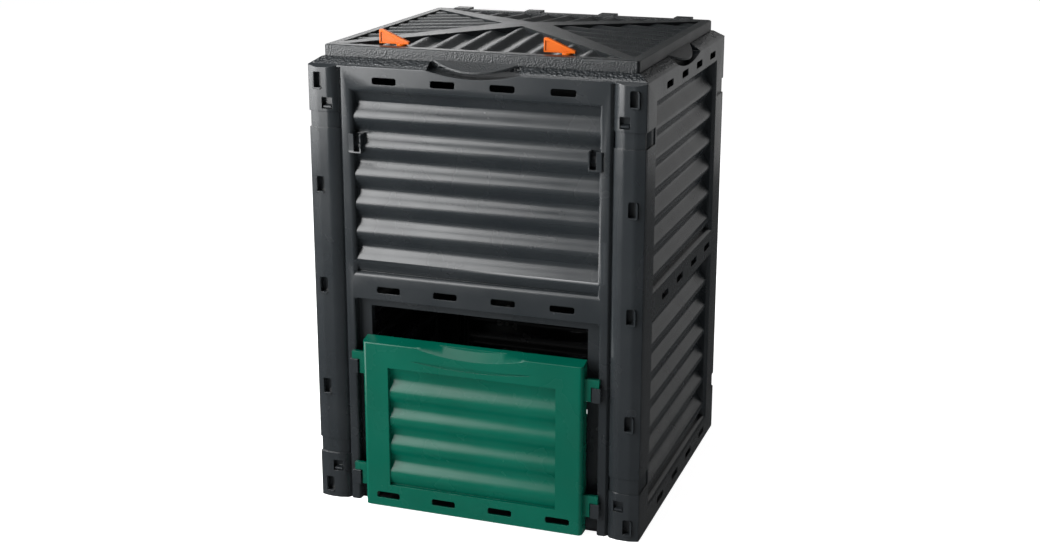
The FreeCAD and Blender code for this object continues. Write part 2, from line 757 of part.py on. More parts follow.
def side_catch(z):
    """A sprung catch whose nose stands in a column's square hole."""
    flange = flange_face()
    half = CATCH_SIZE[0] / 2.0 - CATCH_GAP
    low = z - CATCH_SIZE[1] / 2.0 + CATCH_GAP
    root, tip = flange - OVER, flange + CATCH_NOSE
    nose = [(root, low), (tip, low), (tip, low + CATCH_HEIGHT / 2.0), (root, low + CATCH_HEIGHT)]
    return polygon_face(nose, "xz", -SIDE + CATCH_X - half).extrude(V(0, 2.0 * half, 0))


def flange_relief():
    """Room above a side wall's flange for the front or back wall's bevel."""
    end = flange_face()
    under = WALL_TOP - SHEET - FLANGE_DROP
    return box(end - SHEET - HOOK_GAP, end + HOOK_GAP, -SIDE + SHEET, -SIDE + FLANGE + OVER,
               under, WALL_TOP + OVER)


def make_side_wall(turn):
    """A side wall, modelled facing -Y: the slots sit towards the back of the bin."""
    section = wall_section(SIDE, (LOWER_FIELD, UPPER_FIELD), [(-SIDE, 0.0)])
    half = FRONT - SIDE_BORDER
    parts = [extrude_section(section, half + SHEET)]
    parts += both_sides(side_end_section().extrude(V(0, 0, WALL_TOP))) + side_bands(SIDE, half)
    parts.append(collar_ring_piece(SIDE, FRONT))
    for z in HOOK_HEIGHTS:
        parts += both_sides(side_hook(z))
    for z in CATCH_HEIGHTS:
        parts += both_sides(side_catch(z))
    wall = fuse(parts)
    shift = math.copysign(SIDE_SLOT_SHIFT, turn)
    tools = [scoop_tool(SIDE)] + both_sides(flange_relief())
    for z in (TOP_SLOT_Z, MID_SLOT_Z, BOTTOM_SLOT_Z):
        tools += slot_row(SIDE, half, z, shift)
    strip = half + 2.0 * FIELD_EDGE
    for z0, z1 in BELT_ZONES:
        tools += both_sides(box(strip, FRONT + OVER, -SIDE - OVER, -SIDE + BELT_DEPTH, z0, z1))
    return turned(fuse([wall.cut(tools), scoop_pocket(SIDE)]), turn)


# Brackets and discharge door

def bracket_body(z):
    """A pocket on the bar beside the opening, which a door hook drops into."""
    return box(BRACKET_INNER, BRACKET_INNER + BRACKET_WIDTH, -FRONT - BRACKET_PROUD, -FRONT + SHEET,
               z - BRACKET_HEIGHT, z)


def bracket_pocket(z):
    y0 = -FRONT - BRACKET_PROUD + BRACKET_WALL
    return box(BRACKET_INNER + BRACKET_WALL, BRACKET_INNER + BRACKET_WIDTH - BRACKET_WALL,
               y0, -FRONT - DOOR_HOOK_BACK, z - BRACKET_HEIGHT + BRACKET_WALL, z + OVER)


def parking_bracket():
    """A deeper loop on the upper frame, where the door can be hung while open."""
    wall = BRACKET_WALL
    x0 = SIDE - FRONT_BORDER - PARK_OVERHANG
    x1, split = x0 + PARK_WIDTH, SIDE - FRONT_BORDER - wall
    y0, z1 = -FRONT - PARK_PROUD, WALL_TOP - PARK_DROP
    y1, z0 = y0 + PARK_DEPTH, z1 - PARK_HEIGHT
    body = box(x0, x1, y0, y1, z0, z1)
    pocket = box(x0 + wall, split - OVER, y0 - OVER, y1 - wall, z0 + wall, z1 + OVER)
    side = box(split - OVER, split + wall - OVER, y0 + wall, y1 - wall, z0 + wall, z1 + OVER)
    return body.cut([pocket, side])


def door_faces():
    """Front and rear planes of the door."""
    return -FRONT - DOOR_FACE, -FRONT - DOOR_FACE + DOOR_DEPTH


def door_outer():
    """The door's outer block, with a rising rear edge along its top and its front edges taken off."""
    face, rear = door_faces()
    outline = [(face, DOOR_BOTTOM), (rear, DOOR_BOTTOM), (rear, DOOR_TOP + DOOR_REAR_RISE),
               (face + DOOR_EDGE, DOOR_TOP), (face, DOOR_TOP - DOOR_EDGE)]
    block = extrude_section(polygon_face(outline, "yz"), DOOR_HALF)
    upright = [e for e in block.Edges if upright_at(e, face)]
    return block.makeFillet(DOOR_CORNER, upright)


def upright_at(edge, face):
    a, b = edge.Vertexes[0].Point, edge.Vertexes[-1].Point
    in_face = abs(a.y - face) < 0.01 and abs(b.y - face) < 0.01
    return in_face and abs(a.x - b.x) < 0.01


def arc_segment(half, sag, z, y):
    """The lens between a level chord and an arc that sags below it."""
    arc = Part.Arc(V(-half, y, z), V(0, y, z - sag), V(half, y, z)).toShape()
    chord = Part.LineSegment(V(half, y, z), V(-half, y, z)).toShape()
    return Part.Face(Part.Wire([arc, chord]))


def door_handle_dip():
    """The dip in the top edge, which slopes up towards the back."""
    face = door_faces()[0]
    over = 2.0 * DOOR_EDGE
    half = DIP_HALF * math.sqrt(1.0 + over / DIP_SAG)
    lens = arc_segment(half, DIP_SAG + over, DOOR_TOP + over, face - OVER)
    length = OVER + DIP_DEPTH
    return lens.extrude(V(0, length, length * DIP_SLOPE))


def door_crease():
    """A shallow crescent below the dip."""
    face = door_faces()[0]
    z = DOOR_TOP - CREASE_BELOW
    ends = [V(-DIP_HALF, face, z), V(DIP_HALF, face, z)]
    lower = Part.Arc(ends[0], V(0, face, z - CREASE_SAG), ends[1]).toShape()
    upper = Part.Arc(ends[0], V(0, face, z - CREASE_SAG + CREASE_WIDTH), ends[1]).toShape()
    return Part.Face(Part.Wire([lower, upper])).extrude(V(0, CREASE_DEPTH, 0))


def door_wave_sheet():
    """The corrugated field of the door, with its upper and lower ledges."""
    face = door_faces()[0]
    waves = wave_points(DOOR_FIELD, DOOR_WAVE_PITCH, face + DOOR_WAVE_SINK, DOOR_WAVE_FLANK)
    low, high = DOOR_FIELD
    points = [(face, low - DOOR_WALL), (face, low)] + waves + [(face, high), (face, high + DOOR_WALL)]
    radii = [0.0, 0.0, 0.0] + [DOOR_WAVE_RADIUS] * (len(waves) - 2) + [0.0, 0.0, 0.0]
    section = ribbon_face(points[::-1], radii[::-1], DOOR_WALL, "yz")
    return extrude_section(section, DOOR_FIELD_HALF + DOOR_WALL)


def make_discharge_door():
    face, rear = door_faces()
    t = DOOR_WALL
    block = door_outer().cut([door_handle_dip(), door_crease()])
    inside = DOOR_HALF - t
    low, high = DOOR_BOTTOM + t, DOOR_TOP - t
    grip_top = DOOR_TOP - DIP_SAG - DIP_FLOOR
    hollow = box(-inside, inside, face + t, rear + OVER, low, grip_top)
    shoulders = box(DIP_HALF + 2.0 * t, inside, face + t, rear + OVER, grip_top - OVER, high)
    field = box(-DOOR_FIELD_HALF, DOOR_FIELD_HALF, face - OVER, face + t + OVER, *DOOR_FIELD)
    panel = block.cut([hollow, field] + both_sides(shoulders))
    cheek = box(DOOR_FIELD_HALF, DOOR_FIELD_HALF + t, face + t / 2.0, rear - 2.0 * t,
                DOOR_FIELD[0] - t, DOOR_FIELD[1] + t)
    parts = [panel, door_wave_sheet()] + both_sides(cheek)
    for z in BRACKET_TOPS:
        parts += both_sides(door_hook(z))
    slots = slot_row(-face, DOOR_HALF, DOOR_BOTTOM + DOOR_SLOT_RISE, 0.0, t)
    return fuse(parts).cut(slots).removeSplitter()


def door_hook(z):
    """Leg, arm and hanging tongue of one hook, for a bracket whose top is at z."""
    y0 = -FRONT - BRACKET_PROUD + BRACKET_WALL + TONGUE_GAP
    y1 = -FRONT - DOOR_HOOK_BACK - TONGUE_GAP
    tongue0 = BRACKET_INNER + BRACKET_WALL + TONGUE_GAP
    tongue1 = BRACKET_INNER + BRACKET_WIDTH - BRACKET_WALL - TONGUE_GAP
    root, rest = DOOR_HALF - DOOR_WALL / 2.0, z + RUN_GAP
    high = rest + DOOR_HOOK_HEIGHT
    leg = box(root, BRACKET_INNER - DOOR_HOOK_GAP, y0, y1, rest - BRACKET_HEIGHT, high)
    arm = box(root, tongue1, y0, y1, rest, high)
    tongue = box(tongue0, tongue1, y0, y1, z - TONGUE, rest + OVER)
    return fuse([leg, arm, tongue])


# Lid

def lid_half():
    return SIDE - LID_INSET, FRONT - LID_INSET


def lid_rim():
    """The skirt and the flat band round the lid's edge."""
    hx, hy = lid_half()
    outline = cut_box_outline(-hx, hx, -hy, hy, RIM_CORNER)
    solid = polygon_face(outline, "xy", LID_BOTTOM).extrude(V(0, 0, RIM_TOP - LID_BOTTOM))
    top = [e for e in solid.Edges if all(abs(v.Point.z - RIM_TOP) < 0.01 for v in e.Vertexes)]
    solid = solid.makeChamfer(RIM_EDGE, top)
    t = RIM_WALL
    inner = cut_box_outline(-hx + t, hx - t, -hy + t, hy - t, RIM_CORNER - t * (2.0 - math.sqrt(2.0)))
    cavity = polygon_face(inner, "xy", LID_BOTTOM - OVER).extrude(V(0, 0, RIM_TOP - t - LID_BOTTOM + OVER))
    bx, by = hx - RIM_BAND_X, hy - RIM_BAND_Y
    window = box(-bx, bx, -by, by, LID_BOTTOM, RIM_TOP + OVER)
    return solid.cut([cavity, window])


def lid_corners():
    """Plan corners of the window and of two of the corrugated triangles."""
    hx, hy = lid_half()
    bx, by = hx - RIM_BAND_X, hy - RIM_BAND_Y
    front = [(-bx + BAND_END_X, -by), (bx - BAND_END_X, -by), (0.0, -APEX_Y)]
    right = [(bx, -by + BAND_END_Y), (bx, by - BAND_END_Y), (APEX_X, 0.0)]
    return bx, by, front, right


def tilted_slab(along, z_start, z_end, thickness):
    """A sheet whose top climbs from z_start at the plan point to z_end at the middle."""
    length = math.hypot(*along)
    slope = math.atan2(z_end - z_start, length)
    heading = math.degrees(math.atan2(-along[1], -along[0]))
    reach = WIDTH + DEPTH
    slab = Part.makeBox(reach + length, 2.0 * reach, thickness, V(-length, -reach, -thickness))
    slab.rotate(V(0, 0, 0), V(0, 1, 0), -math.degrees(slope))
    slab.rotate(V(0, 0, 0), V(0, 0, 1), heading)
    slab.translate(V(along[0], along[1], z_start))
    return slab


def lid_bands():
    """Four flat bands that climb from the corners to the middle rhomb."""
    bx, by, front, right = lid_corners()
    # The band climbs square to the rhomb's edge, so that its plane holds both the corner and that edge
    edge = math.hypot(APEX_X, APEX_Y)
    uphill = (-APEX_Y / edge, APEX_X / edge)
    climb = -bx * uphill[0] + (by - APEX_Y) * uphill[1]
    run = (-uphill[0] * climb, -uphill[1] * climb)
    slab = tilted_slab(run, RIM_TOP, LID_TOP, LID_SHEET)
    slab.translate(V(bx - run[0], -by - run[1], 0))
    outline = [(bx + OVER, -by - OVER), (bx + OVER, -by + BAND_END_Y), right[2], front[2],
               (bx - BAND_END_X, -by - OVER)]
    prism = polygon_face(outline, "xy", LID_BOTTOM).extrude(V(0, 0, LID_TOP + LID_RISE - LID_BOTTOM))
    band = slab.common(prism)
    mirrored = band.mirror(V(0, 0, 0), V(0, 1, 0))
    rhomb = [(APEX_X, 0.0), (0.0, APEX_Y), (-APEX_X, 0.0), (0.0, -APEX_Y)]
    plateau = polygon_face(rhomb, "xy", LID_TOP - LID_SHEET).extrude(V(0, 0, LID_SHEET))
    return both_sides(band) + both_sides(mirrored) + [plateau]


def upright_plate(a, b, z_a, z_b, drop, thickness):
    """A thin upright wall under the line from a to b, thickened to its left and run past both ends."""
    length = math.hypot(b[0] - a[0], b[1] - a[1])
    along = ((b[0] - a[0]) / length * thickness, (b[1] - a[1]) / length * thickness)
    a, b = (a[0] - along[0], a[1] - along[1]), (b[0] + along[0], b[1] + along[1])
    corners = [V(a[0], a[1], z_a), V(b[0], b[1], z_b), V(b[0], b[1], z_b - drop), V(a[0], a[1], z_a - drop)]
    face = Part.Face(Part.makePolygon(corners + corners[:1]))
    return face.extrude(V(-along[1], along[0], 0))


def lid_field_walls(triangle):
    """The three walls under a corrugated triangle's edges, with their tops inside the bands' thickness."""
    left, right, apex = triangle
    low, high = RIM_TOP - LID_SHEET / 2.0, LID_TOP - LID_SHEET / 2.0
    drop = LID_SKIRT - LID_SHEET / 2.0
    t = LID_SHEET
    return [upright_plate(right, left, low, low, drop, t),
            upright_plate(left, apex, low, high, drop, t),
            upright_plate(apex, right, high, low, drop, t)]


def corrugated_triangle(half, near, apex):
    """A corrugated sheet that climbs from the front rim to the middle, facing -Y."""
    waves = round(2.0 * half / LID_WAVE_PITCH)
    pitch = 2.0 * half / waves
    slope = math.atan2(LID_TOP - RIM_TOP, near - apex)
    swing = wave_swing(pitch, LID_WAVE_FLANK)
    middle = RIM_TOP - LID_WAVE_SINK
    points = []
    for i in range(2 * waves + 3):
        x = -half + (i - 1) * pitch / 2.0
        points.append((x, middle + (swing if i % 2 == 0 else -swing)))
    outline = cut_bends(points[::-1], [LID_WAVE_RADIUS] * len(points))
    section = ribbon_face(outline, [0.0] * len(outline), LID_SHEET, "xz")
    section.translate(V(0, -near - LID_SHEET, 0))
    sheet = section.extrude(V(0, (near - apex) / math.cos(slope) + 2.0 * LID_SHEET, 0))
    sheet.rotate(V(0, -near, middle), V(1, 0, 0), math.degrees(slope))
    outline = [(-half, -near), (half, -near), (0.0, -apex)]
    prism = polygon_face(outline, "xy", LID_BOTTOM).extrude(V(0, 0, LID_TOP + LID_RISE - LID_BOTTOM))
    return sheet.common(prism)


def lid_lip(face):
    """The rounded lip that leans out over a finger scoop, facing -Y."""
    hy = face - LID_INSET
    root = -hy + LID_SHEET / 2.0
    arc = Part.Arc(V(-LIP_HALF, -hy, 0), V(0, -hy - LIP_REACH, 0), V(LIP_HALF, -hy, 0)).toShape()
    corners = [V(LIP_HALF, -hy, 0), V(LIP_HALF, root, 0), V(-LIP_HALF, root, 0), V(-LIP_HALF, -hy, 0)]
    plan = Part.Face(Part.Wire([arc] + Part.makePolygon(corners).Edges))
    plan.translate(V(0, 0, WALL_TOP - SCOOP_DROP))
    prism = plan.extrude(V(0, 0, RIM_TOP - WALL_TOP + SCOOP_DROP))
    z0 = LID_BOTTOM + LIP_SHOULDER
    slope = LIP_FALL / LIP_REACH
    far = LIP_REACH + 2.0 * LID_SHEET
    path = [(root + LID_SHEET, z0 + LID_SHEET * slope), (-hy - far, z0 - far * slope)]
    section = ribbon_face(path, [0.0, 0.0], LID_SHEET, "yz")
    return extrude_section(section, LIP_HALF + OVER).common(prism)


def hinge_clips():
    """Clips at the back of the lid that snap over the bars."""
    hy = lid_half()[1]
    axis_y = FRONT - HINGE_SETBACK
    outer = HINGE_BAR + CLIP_GAP + CLIP_WALL
    top = RIM_TOP + TAB_RISE
    half = CLIP_LENGTH / 2.0
    shapes, tools = [], []
    for x in HINGE_PLACES:
        body = polygon_face(octagon(axis_y, HINGE_Z, outer), "yz", x - half).extrude(V(CLIP_LENGTH, 0, 0))
        tab = box(x - half, x + half, hy - TAB_REACH, axis_y + OVER, RIM_TOP - RIM_EDGE, top)
        web = box(x - half, x + half, hy - RIM_WALL / 2.0, axis_y + OVER, HINGE_Z, top)
        shapes += [body, tab, web]
        start = V(x - half - OVER, axis_y, HINGE_Z)
        bore = Part.makeCylinder(HINGE_BAR + CLIP_GAP, CLIP_LENGTH + 2.0 * OVER, start, V(1, 0, 0))
        mouth = box(x - half - OVER, x + half + OVER, axis_y - CLIP_MOUTH / 2.0, axis_y + CLIP_MOUTH / 2.0,
                    HINGE_Z - outer - OVER, HINGE_Z)
        tools += [bore, mouth]
    return shapes, tools


def latch_boss(x):
    outline = octagon(x, LATCH_Y, BOSS_RADIUS)
    return polygon_face(outline, "xy", BOSS_TOP - BOSS_HEIGHT).extrude(V(0, 0, BOSS_HEIGHT))


def latch_bore(x):
    low = V(x, LATCH_Y, BOSS_TOP - BOSS_HEIGHT - OVER)
    return Part.makeCylinder(SPINDLE + SPINDLE_GAP, BOSS_HEIGHT + 2.0 * OVER, low)


def above_boss(x):
    outline = octagon(x, LATCH_Y, BOSS_RADIUS)
    return polygon_face(outline, "xy", BOSS_TOP).extrude(V(0, 0, BOSS_HEIGHT))


def make_lid():
    bx, by, front, right = lid_corners()
    frame = [lid_rim()] + lid_bands()
    for triangle in (front, right):
        walls = lid_field_walls(triangle)
        frame += walls + [turned(w, 180.0) for w in walls]
    clips, clip_tools = hinge_clips()
    lips = [lid_lip(FRONT), turned(lid_lip(SIDE), 90.0), turned(lid_lip(SIDE), -90.0)]
    lid = fuse([fuse(frame)] + clips + lips)
    front_field = corrugated_triangle(bx - BAND_END_X, by, APEX_Y)
    side_field = corrugated_triangle(by - BAND_END_Y, bx, APEX_X)
    fields = [front_field, turned(front_field, 180.0), turned(side_field, 90.0), turned(side_field, -90.0)]
    places = (-LATCH_X, LATCH_X)
    for piece in fields + [latch_boss(x) for x in places]:
        lid = fuse([lid, piece])
    tools = clip_tools + [latch_bore(x) for x in places] + [above_boss(x) for x in places]
    return lid.cut(tools).removeSplitter()


# Turn latches

def make_latch_handle(x):
    """Upright wedge fin, base disc and spindle with a square end."""
    half = FIN_THICKNESS / 2.0
    z0 = LATCH_DISC_TOP - FIN_ROOT
    z1 = z0 + FIN_HEIGHT
    crown = FIN_TAIL - FIN_CROWN
    outline = [(-FIN_TAIL, z0), (FIN_NOSE, z0), (FIN_NOSE, z0 + FIN_TIP), (-crown, z1),
               (-FIN_TAIL + FIN_EDGE, z1), (-FIN_TAIL, z1 - FIN_EDGE)]
    fin = polygon_face(outline, "xz", -half).extrude(V(0, FIN_THICKNESS, 0))
    rim = FIN_RIM
    sunk = [(-FIN_TAIL + rim, z0 + rim), (FIN_NOSE - 4.0 * rim, z0 + rim),
            (-crown + rim / 2.0, z1 - 2.0 * rim), (-FIN_TAIL + rim, z1 - 2.0 * rim)]
    panel = polygon_face(sunk, "xz", half - FIN_SINK).extrude(V(0, FIN_SINK + OVER, 0))
    panels = [panel, panel.mirror(V(0, 0, 0), V(0, 1, 0))]
    disc = Part.makeCylinder(LATCH_DISC, LATCH_DISC_HEIGHT, V(0, 0, LATCH_DISC_LOW))
    seat = CAM_TOP + RUN_GAP
    spindle = Part.makeCylinder(SPINDLE, LATCH_DISC_TOP - seat, V(0, 0, seat))
    s = CAM_SQUARE / 2.0
    square = box(-s, s, -s, s, CAM_BOTTOM - OVER, seat + OVER)
    handle = fuse([fin.cut(panels), disc, spindle, square])
    handle.translate(V(x, LATCH_Y, 0))
    return handle


def make_latch_cam(x):
    """The arm that turns under the collar's lip, with a wider hub."""
    w = CAM_WIDTH / 2.0
    hub = polygon_face(octagon(0.0, 0.0, CAM_HUB / 2.0), "xy", CAM_BOTTOM).extrude(V(0, 0, CAM_HEIGHT))
    outline = [(-CAM_REACH, -w / 2.0), (-CAM_REACH + w / 2.0, -w), (0.0, -w), (0.0, w),
               (-CAM_REACH + w / 2.0, w), (-CAM_REACH, w / 2.0)]
    arm = polygon_face(outline, "xy", CAM_BOTTOM).extrude(V(0, 0, CAM_HEIGHT))
    s = CAM_SQUARE / 2.0 + CAM_FIT
    hole = box(-s, s, -s, s, CAM_BOTTOM - OVER, CAM_TOP + OVER)
    cam = fuse([hub, arm]).cut(hole)
    cam.translate(V(x, LATCH_Y, 0))
    return cam


def export(name, shape):
    """One file for each piece, moved so that the origin is in the middle of the overall depth."""
    front_reach = FRONT + DOOR_FACE
    back_reach = FRONT + COLUMN_BULGE + HOOK_PROUD
    shape.translate(V(0, (front_reach - back_reach) / 2.0, 0))
    solids = shape.Solids
    result = solids[0] if len(solids) == 1 else Part.makeCompound(solids)
    print(name, len(solids), "solid, valid", shape.isValid(), "cm3", round(shape.Volume / 1000.0, 1))
    result.exportStep(os.path.join("parts", name + ".step"))


def main():
    os.makedirs("parts", exist_ok=True)
    export("front_wall", make_front_wall())
    export("back_wall", make_back_wall())
    export("right_wall", make_side_wall(90.0))
    export("left_wall", make_side_wall(-90.0))
    export("discharge_door", make_discharge_door())
    export("lid", make_lid())
    for name, x in (("left", -LATCH_X), ("right", LATCH_X)):
        export("latch_handle_" + name, make_latch_handle(x))
        export("latch_cam_" + name, make_latch_cam(x))


main()
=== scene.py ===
"""Looks for the garden compost bin: camera, floor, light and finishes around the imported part.

Metres, +Z up, the bin stands on Z = 0 and its front faces -Y.
"""
import bmesh
import bpy
import json
import math
from mathutils import Matrix, Vector


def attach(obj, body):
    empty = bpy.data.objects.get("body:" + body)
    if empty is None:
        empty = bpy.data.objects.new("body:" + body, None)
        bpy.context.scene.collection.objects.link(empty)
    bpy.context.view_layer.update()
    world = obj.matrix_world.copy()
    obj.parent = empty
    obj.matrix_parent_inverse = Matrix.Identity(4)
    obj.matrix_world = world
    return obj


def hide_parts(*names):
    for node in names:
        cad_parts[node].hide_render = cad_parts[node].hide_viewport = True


# The photograph's frame and the camera fitted to it
PHOTO_WIDTH = 1040
SENSOR_MM = 36.0
FOCAL_PX = 1599.45
OPTICAL_AXIS_ABOVE_CENTRE_PX = 40.0
CAMERA_AZIMUTH = 19.448
CAMERA_ELEVATION = 15.329
CAMERA_PLACE = (0.9438, -2.7082, 1.2380)
CLIP_END = 200.0

# Softboxes by name: azimuth from the front towards the right, distance from the axis, height of the
# middle, tilt down, width, height and brightness
LIGHTS = {
    "window_light": (-50.0, 2.3, 1.72, 0.0, 2.45, 2.75, 9.5),
    "rim_light": (-143.0, 2.4, 1.75, 25.0, 1.5, 1.2, 2.7),
    "top_light": (-25.0, 0.7, 2.7, 75.0, 1.4, 1.2, 3.5),
    "side_light": (158.0, 2.5, 0.85, 0.0, 2.4, 1.6, 0.33),
}
ROOM_BRIGHTNESS = 0.07
WHITE = (1.0, 1.0, 1.0, 1.0)

# The white floor, and the dark patch of painted shade under the bin, as half width and half depth
FLOOR_HALF = 60.0
FLOOR_GREY = 0.6
FLOOR_ROUGHNESS = 0.9
FLOOR_GLOW = 0.95
PAINTED_SHADE_PATCH = (0.29, 0.26)
# The near-black grey of the patch under the bin is painted shade
PAINTED_SHADE_GREY = 0.02

# Finishes: darkest and lightest colour, roughness and gloss
WALL_FINISH = ((0.011, 0.0135, 0.0155), (0.015, 0.0175, 0.0195), 0.25, 0.5)
LID_FINISH = ((0.0065, 0.0085, 0.0095), (0.009, 0.011, 0.0125), 0.37, 0.5)
DOOR_FINISH = ((0.0, 0.056, 0.035), (0.0, 0.066, 0.042), 0.26, 0.22)
LATCH_FINISH = ((0.5, 0.09, 0.0), (0.57, 0.105, 0.0), 0.35, 0.25)

# Texture of the plastic: the scales count cells per metre, the depths are metres
MOTTLE_SCALE = 9.0
GLOSS_SCALE = 14.0
GLOSS_SWING = 0.04
GRAIN_SCALE = 900.0
GRAIN_DEPTH = 0.00003
NOISE_DETAIL = 3.0
NOISE_RANGE = (0.3, 0.7)
COLLAR_LEATHER_SCALE = 230.0
COLLAR_LEATHER_DEPTH = 0.0028
LID_LEATHER_SCALE = 430.0
LID_LEATHER_DEPTH = 0.0008

# Corrugated fields of the part: pitch, flank angles in degrees and the radius at which bends are cut
WALL_PITCH = 0.051
WALL_FLANK = 34.3
LID_FLANK = 25.7
WAVE_RADIUS = 0.012
WAVE_STEPS = 12

# The walls' fields, lower and upper, by their heights, and half their widths on the front and the sides
WALL_FIELDS = ((0.046, 0.375), (0.4315, 0.7515))
FRONT_FIELD_HALF = 0.22
SIDE_FIELD_HALF = 0.215
WALL_OUTWARD = {
    "front_wall": (0, -1, 0),
    "back_wall": (0, 1, 0),
    "left_wall": (-1, 0, 0),
    "right_wall": (1, 0, 0),
}
MIDDLE_Y = 0.006

# The lid's triangles, front and back, then left and right: half length, rim, apex and number of waves
LID_FIELDS = ((0.246, 0.24, 0.028, 11), (0.226, 0.262, 0.048, 10))
LID_FIELD_LOW = 0.8

# Faces count to a field when they face along less than this, and on the lid up or down more than that
WALL_FACING = 0.1
LID_FACING = 0.5

# Where the finishes change on the walls
GRAIN_START_Z = 0.7965
GRAIN_FULL_Z = 0.7995

# Bends up to this angle are shaded round, sharper ones get a small edge radius
ROUND_BEND = 50.0
FLAT_TOLERANCE = 0.5
EDGE_RADIUS = 0.0011
EDGE_SAMPLES = 4
WELD = 0.00001
NORMAL_WEIGHT = 50

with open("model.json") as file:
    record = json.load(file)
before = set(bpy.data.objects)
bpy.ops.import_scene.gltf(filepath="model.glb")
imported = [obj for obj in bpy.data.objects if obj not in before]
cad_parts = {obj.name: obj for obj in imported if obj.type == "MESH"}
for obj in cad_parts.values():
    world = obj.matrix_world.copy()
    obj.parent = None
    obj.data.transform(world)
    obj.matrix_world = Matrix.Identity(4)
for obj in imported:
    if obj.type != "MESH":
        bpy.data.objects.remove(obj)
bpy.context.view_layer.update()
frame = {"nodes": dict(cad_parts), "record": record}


# Camera, floor and light

def direction(azimuth, elevation):
    """A unit vector towards an azimuth, counted from the front to the right, and an elevation."""
    a, e = math.radians(azimuth), math.radians(elevation)
    return Vector((math.sin(a) * math.cos(e), -math.cos(a) * math.cos(e), math.sin(e)))


def aim_camera():
    back = direction(CAMERA_AZIMUTH, CAMERA_ELEVATION)
    azimuth = math.radians(CAMERA_AZIMUTH)
    right = Vector((math.cos(azimuth), math.sin(azimuth), 0.0))
    up = back.cross(right)
    turn = Matrix((right, up, back)).transposed().to_4x4()
    data = bpy.data.cameras.new("camera")
    data.sensor_width = SENSOR_MM
    data.sensor_fit = "HORIZONTAL"
    data.lens = FOCAL_PX * SENSOR_MM / PHOTO_WIDTH
    data.shift_y = -OPTICAL_AXIS_ABOVE_CENTRE_PX / PHOTO_WIDTH
    data.clip_end = CLIP_END
    camera = bpy.data.objects.new("camera", data)
    camera.matrix_world = Matrix.Translation(CAMERA_PLACE) @ turn
    bpy.context.scene.collection.objects.link(camera)
    bpy.context.scene.camera = camera


def softbox(name, azimuth, distance, middle, tilt, width, height, brightness):
    """A rectangular light that stands round the bin and faces its axis."""
    data = bpy.data.lights.new(name, "AREA")
    data.shape = "RECTANGLE"
    data.size = width
    data.size_y = height
    data.energy = brightness * math.pi * width * height
    light = bpy.data.objects.new(name, data)
    light.rotation_euler = (-direction(azimuth, tilt)).to_track_quat("-Z", "Y").to_euler()
    light.location = direction(azimuth, 0.0) * distance + Vector((0.0, 0.0, middle))
    light.visible_camera = False
    bpy.context.scene.collection.objects.link(light)


def grey(value):
    return (value, value, value, 1.0)


def make_floor():
    """A bright white floor, with a dark patch of painted shade under the bin."""
    outer = FLOOR_HALF
    x, y = PAINTED_SHADE_PATCH
    corners = [(-outer, -outer, 0.0), (outer, -outer, 0.0), (outer, outer, 0.0), (-outer, outer, 0.0),
               (-x, -y, 0.0), (x, -y, 0.0), (x, y, 0.0), (-x, y, 0.0)]
    faces = [(0, 1, 5, 4), (1, 2, 6, 5), (2, 3, 7, 6), (3, 0, 4, 7), (4, 5, 6, 7)]
    mesh = bpy.data.meshes.new("floor")
    mesh.from_pydata(corners, [], faces)
    floor = bpy.data.objects.new("floor", mesh)
    bpy.context.scene.collection.objects.link(floor)
    # The patch under the bin is painted shade: a near-black grey where the floor inside the bin lies in
    # shade
    shade = new_material("floor_painted_shade_under_bin")
    shade.node_tree.nodes["Principled BSDF"].inputs["Base Color"].default_value = grey(PAINTED_SHADE_GREY)
    material = new_material("floor_white")
    shader = material.node_tree.nodes["Principled BSDF"]
    shader.inputs["Base Color"].default_value = grey(FLOOR_GREY)
    shader.inputs["Roughness"].default_value = FLOOR_ROUGHNESS
    shader.inputs["Specular IOR Level"].default_value = 0.0
    shader.inputs["Emission Color"].default_value = WHITE
    shader.inputs["Emission Strength"].default_value = FLOOR_GLOW
    mesh.materials.append(material)
    mesh.materials.append(shade)
    mesh.polygons[len(faces) - 1].material_index = 1
    floor.visible_glossy = False


def make_stage():
    make_floor()
    world = bpy.data.worlds.new("studio")
    world.use_nodes = True
    world.node_tree.nodes["Background"].inputs["Color"].default_value = WHITE
    world.node_tree.nodes["Background"].inputs["Strength"].default_value = ROOM_BRIGHTNESS
    bpy.context.scene.world = world
    bpy.context.scene.view_settings.view_transform = "Standard"
    for name, values in LIGHTS.items():
        softbox(name, *values)


# Finishes

def new_material(name):
    material = bpy.data.materials.new(name)
    material.use_nodes = True
    return material


def add_node(tree, kind, **settings):
    node = tree.nodes.new(kind)
    for key, value in settings.items():
        setattr(node, key, value)
    return node


def noise(tree, coordinates, scale):
    node = add_node(tree, "ShaderNodeTexNoise")
    node.inputs["Scale"].default_value = scale
    node.inputs["Detail"].default_value = NOISE_DETAIL
    tree.links.new(coordinates, node.inputs["Vector"])
    return node.outputs["Fac"]


def spread(tree, value, low, high, source=NOISE_RANGE):
    """A value stretched from its source range to another."""
    node = add_node(tree, "ShaderNodeMapRange")
    node.inputs["From Min"].default_value = source[0]
    node.inputs["From Max"].default_value = source[1]
    node.inputs["To Min"].default_value = low
    node.inputs["To Max"].default_value = high
    tree.links.new(value, node.inputs["Value"])
    return node.outputs["Result"]


def product(tree, first, second):
    node = add_node(tree, "ShaderNodeMath", operation="MULTIPLY")
    tree.links.new(first, node.inputs[0])
    tree.links.new(second, node.inputs[1])
    return node.outputs["Value"]


def bump(tree, height, depth, normal):
    node = add_node(tree, "ShaderNodeBump")
    node.inputs["Distance"].default_value = depth
    tree.links.new(height, node.inputs["Height"])
    tree.links.new(normal, node.inputs["Normal"])
    return node.outputs["Normal"]


def leather_cells(tree, place, scale):
    cells = add_node(tree, "ShaderNodeTexVoronoi", feature="SMOOTH_F1")
    cells.inputs["Scale"].default_value = scale
    tree.links.new(place, cells.inputs["Vector"])
    return cells.outputs["Distance"]


